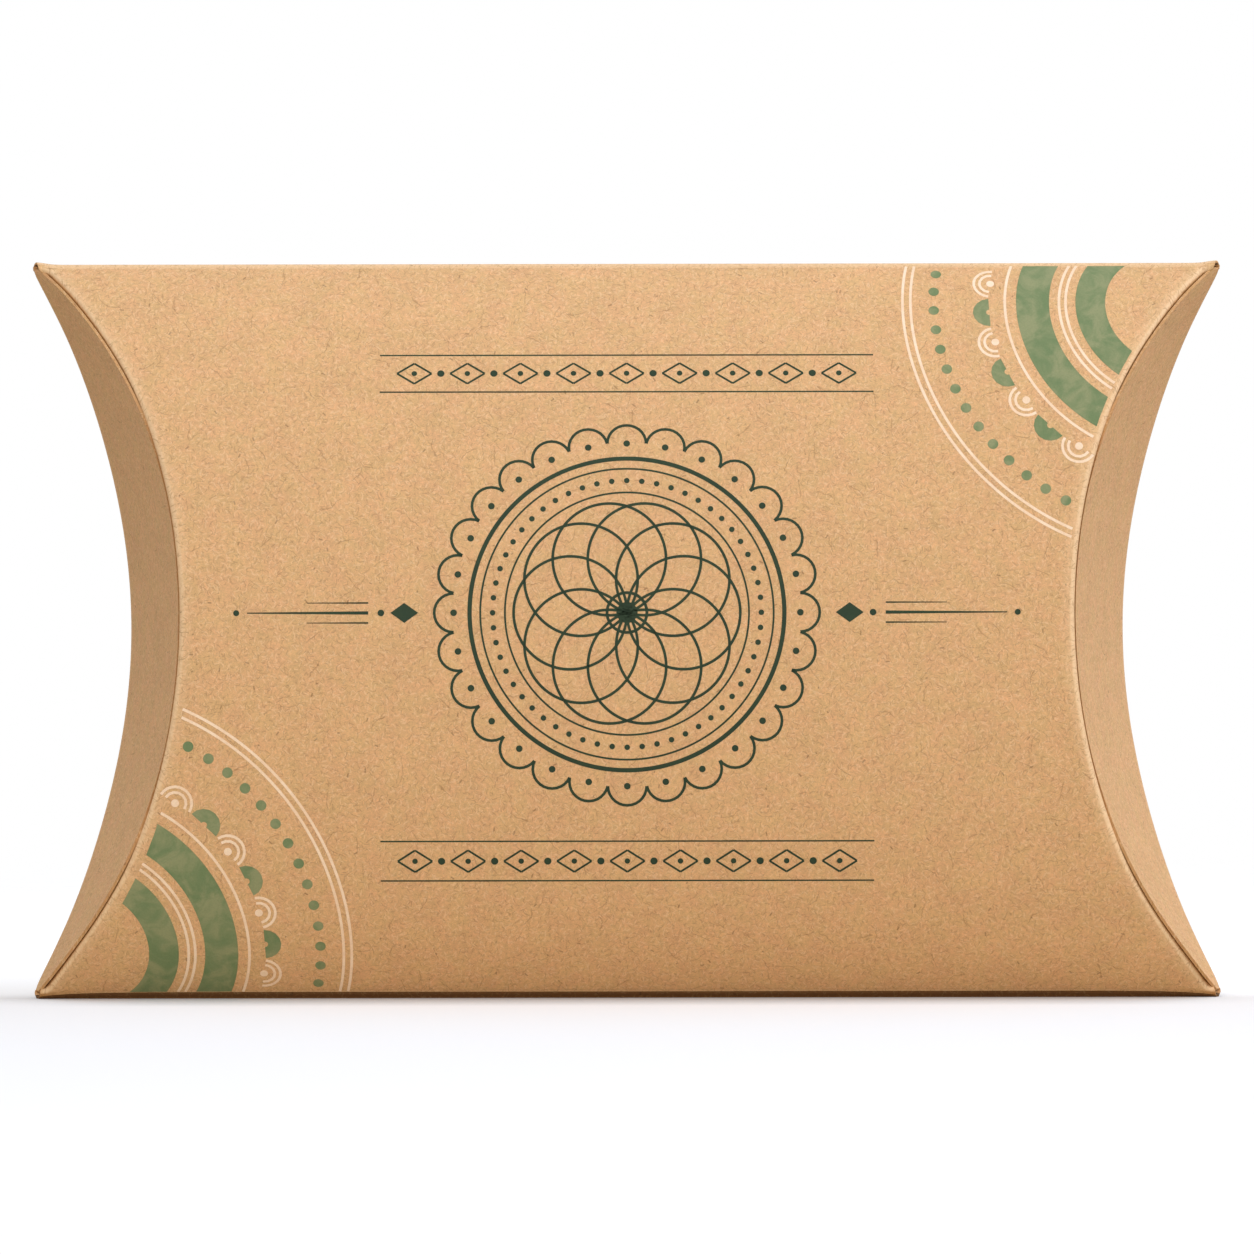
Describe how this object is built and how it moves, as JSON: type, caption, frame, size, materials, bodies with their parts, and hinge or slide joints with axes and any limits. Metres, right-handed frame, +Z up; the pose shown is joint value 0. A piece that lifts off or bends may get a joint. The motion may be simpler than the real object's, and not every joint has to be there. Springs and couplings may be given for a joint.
{
  "type": "pillow box",
  "caption": "Pillow box of kraft board: a bowed tube with rolled long edges, closed at each end by curved outer and inner flaps that swing open.",
  "frame": {"origin": "on the floor, under the middle of the bottom fold", "axes": "+Z up, +X along the box to the right as seen from the front, the front panel faces -Y"},
  "size_m": [0.18, 0.036, 0.1108],
  "materials": {
    "kraft_board": "uncoated kraft, matte",
    "glue": "dried white glue, satin"
  },
  "bodies": {
    "carton": {"front_panel": "kraft_board", "back_panel": "kraft_board", "top_fold": "kraft_board", "bottom_fold": "kraft_board", "glue_tab": "kraft_board", "glue_film": "glue"},
    "left_outer": {"left_outer_flap": "kraft_board"},
    "left_inner": {"left_inner_flap": "kraft_board"},
    "right_outer": {"right_outer_flap": "kraft_board"},
    "right_inner": {"right_inner_flap": "kraft_board"}
  },
  "joints": [
    {"name": "left_outer_hinge", "type": "hinge", "parent": "carton", "child": "left_outer", "pos_m": [-0.07781, 0.018, 0.05536], "axis": [0, 0, -1], "range_deg": [0, 105]},
    {"name": "left_inner_hinge", "type": "hinge", "parent": "carton", "child": "left_inner", "pos_m": [-0.06714, -0.018, 0.05536], "axis": [0, 0, 1], "range_deg": [0, 52.5]},
    {"name": "right_outer_hinge", "type": "hinge", "parent": "carton", "child": "right_outer", "pos_m": [0.07781, 0.018, 0.05536], "axis": [0, 0, 1], "range_deg": [0, 105]},
    {"name": "right_inner_hinge", "type": "hinge", "parent": "carton", "child": "right_inner", "pos_m": [0.06714, -0.018, 0.05536], "axis": [0, 0, -1], "range_deg": [0, 52.5]}
  ],
  "couplings": [
    {"joint": "left_inner_hinge", "follows": "left_outer_hinge", "ratio": 0.5},
    {"joint": "right_inner_hinge", "follows": "right_outer_hinge", "ratio": 0.5}
  ]
}
